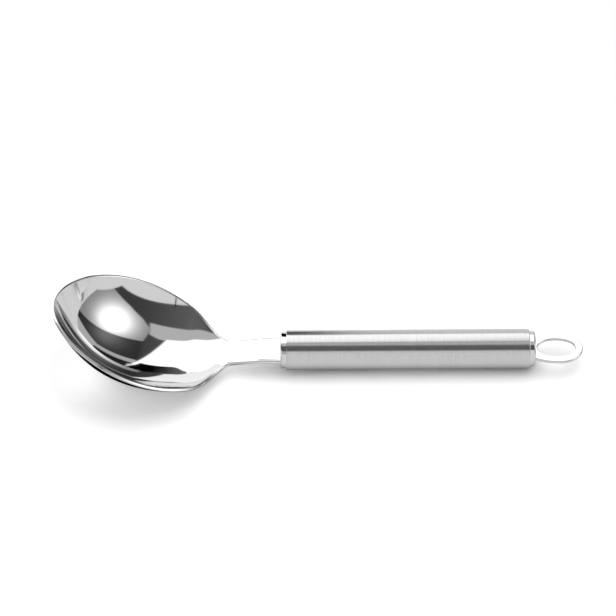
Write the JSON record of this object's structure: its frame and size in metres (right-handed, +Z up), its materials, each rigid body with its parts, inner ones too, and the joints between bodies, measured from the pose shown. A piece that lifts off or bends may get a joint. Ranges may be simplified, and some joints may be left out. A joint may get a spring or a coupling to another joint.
{
  "type": "rice serving spoon",
  "caption": "Serving spoon with a deep egg-shaped polished steel bowl, a short neck, a round brushed tube handle with end caps and a flat oval hanging loop.",
  "frame": {"origin": "on the table under the middle of the spoon's overall length, where the handle's centre plane meets the table", "axes": "+X along the handle from the bowl to the hanging loop, +Z up out of the bowl, +Y to the left seen from above with the bowl at the left end, so the spoon is mirror-symmetric about the plane y = 0"},
  "size_m": [0.2514, 0.067, 0.0432],
  "materials": {
    "head_polish": "mirror-polished 18/10 stainless steel",
    "cap_polish": "mirror-polished 18/10 stainless steel",
    "tube_brush": "fine satin, brushed round the tube, 18/10 stainless steel",
    "loop_polish": "mirror-polished 18/10 stainless steel",
    "weld_metal": "as-welded stainless steel, hidden"
  },
  "bodies": {
    "root": {"spoon_head": "head_polish", "front_cap": "cap_polish", "front_weld": "weld_metal", "handle_tube": "tube_brush", "rear_cap": "cap_polish", "rear_weld": "weld_metal", "hanging_loop": "loop_polish"}
  },
  "joints": []
}
